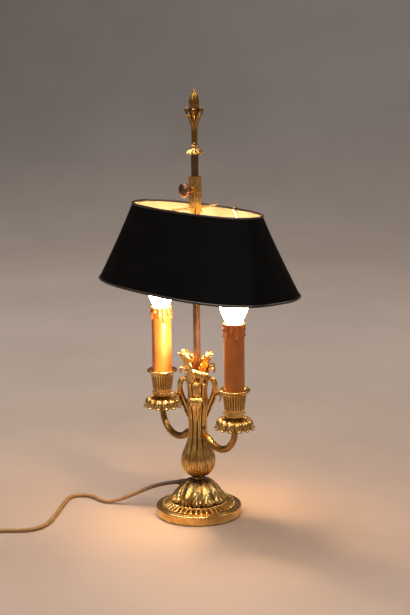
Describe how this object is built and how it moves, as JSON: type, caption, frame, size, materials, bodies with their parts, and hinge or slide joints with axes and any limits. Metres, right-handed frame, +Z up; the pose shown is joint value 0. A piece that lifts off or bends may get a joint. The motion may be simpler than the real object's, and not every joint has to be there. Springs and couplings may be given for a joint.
{
  "type": "bouillotte table lamp",
  "caption": "Two-light bouillotte table lamp with scrolled candle arms, a height-adjustable oval metal shade on a square rod, a flame finial and a cord with plug.",
  "frame": {"origin": "centre of the foot's underside, on the surface that the lamp stands on", "axes": "+X towards the right-hand candle, -Y towards the side with the thumb screw, +Z up"},
  "size_m": [0.424, 0.389, 0.5108],
  "materials": {
    "gilt_brass": "polished gilt with darker recesses",
    "felt": "matte felt",
    "zinc_steel": "zinc plated",
    "holder_plastic": "matte",
    "bulb_cap_metal": "satin",
    "bulb_glass": "frosted",
    "candle_wax": "amber, waxy, slightly mottled",
    "shade_paint": "satin enamel",
    "bead_paint": "dark satin enamel, rubbed to the metal in places",
    "dark_bronze": "brown patina, bright where it is handled",
    "cord_gold": "satin",
    "wire_white": "satin",
    "black_plastic": "gloss",
    "pin_metal": "bright nickel"
  },
  "bodies": {
    "stand": {"arm_left": "gilt_brass", "arm_right": "gilt_brass", "baluster": "gilt_brass", "base_nut": "zinc_steel", "base_washer": "zinc_steel", "bulb_cap_left": "bulb_cap_metal", "bulb_cap_right": "bulb_cap_metal", "bulb_glass_left": "bulb_glass", "bulb_glass_right": "bulb_glass", "candle_cup_left": "gilt_brass", "candle_cup_right": "gilt_brass", "candle_sleeve_left": "candle_wax", "candle_sleeve_right": "candle_wax", "cord_coil": "cord_gold", "cord_grommet": "black_plastic", "cord_lead": "cord_gold", "cord_tail": "cord_gold", "cup_nut_left": "zinc_steel", "cup_nut_right": "zinc_steel", "drip_pan_left": "gilt_brass", "drip_pan_right": "gilt_brass", "finial": "gilt_brass", "finial_collar": "gilt_brass", "foot": "gilt_brass", "foot_felt": "felt", "holder_bracket_left": "zinc_steel", "holder_bracket_right": "zinc_steel", "lamp_holder_left": "holder_plastic", "lamp_holder_right": "holder_plastic", "leaf_crown": "gilt_brass", "leaf_dome": "gilt_brass", "neck_ring": "gilt_brass", "nipple_left": "zinc_steel", "nipple_right": "zinc_steel", "plug_body": "black_plastic", "plug_lead": "cord_gold", "plug_pins": "pin_metal", "rod_screws": "gilt_brass", "scroll_handle_1": "gilt_brass", "scroll_handle_2": "gilt_brass", "scroll_handle_3": "gilt_brass", "scroll_handle_4": "gilt_brass", "shade_rod": "dark_bronze", "switch_base": "black_plastic", "switch_cover": "black_plastic", "tie_rod": "zinc_steel", "wire_left": "wire_white", "wire_right": "wire_white"},
    "shade_carriage": {"slide_block": "gilt_brass", "shade_spider": "gilt_brass", "rim_clips": "gilt_brass", "shade": "shade_paint", "shade_top_bead": "bead_paint", "shade_bottom_bead": "bead_paint"},
    "clamp_screw": {"clamp_screw": "dark_bronze"},
    "switch_rocker": {"switch_rocker": "black_plastic"}
  },
  "joints": [
    {"name": "shade_height", "type": "slide", "parent": "stand", "child": "shade_carriage", "axis": [0, 0, 1], "range_m": [-0.155, 0.0255]},
    {"name": "clamp_screw_turn", "type": "hinge", "parent": "shade_carriage", "child": "clamp_screw", "pos_m": [0, -0.019, 0.395], "axis": [0, -1, 0], "range_deg": [0, 720]},
    {"name": "switch_rock", "type": "hinge", "parent": "stand", "child": "switch_rocker", "pos_m": [-0.13425, -0.26393, 0.011], "axis": [0.8387, -0.5446, 0], "range_deg": [0, 20]}
  ]
}
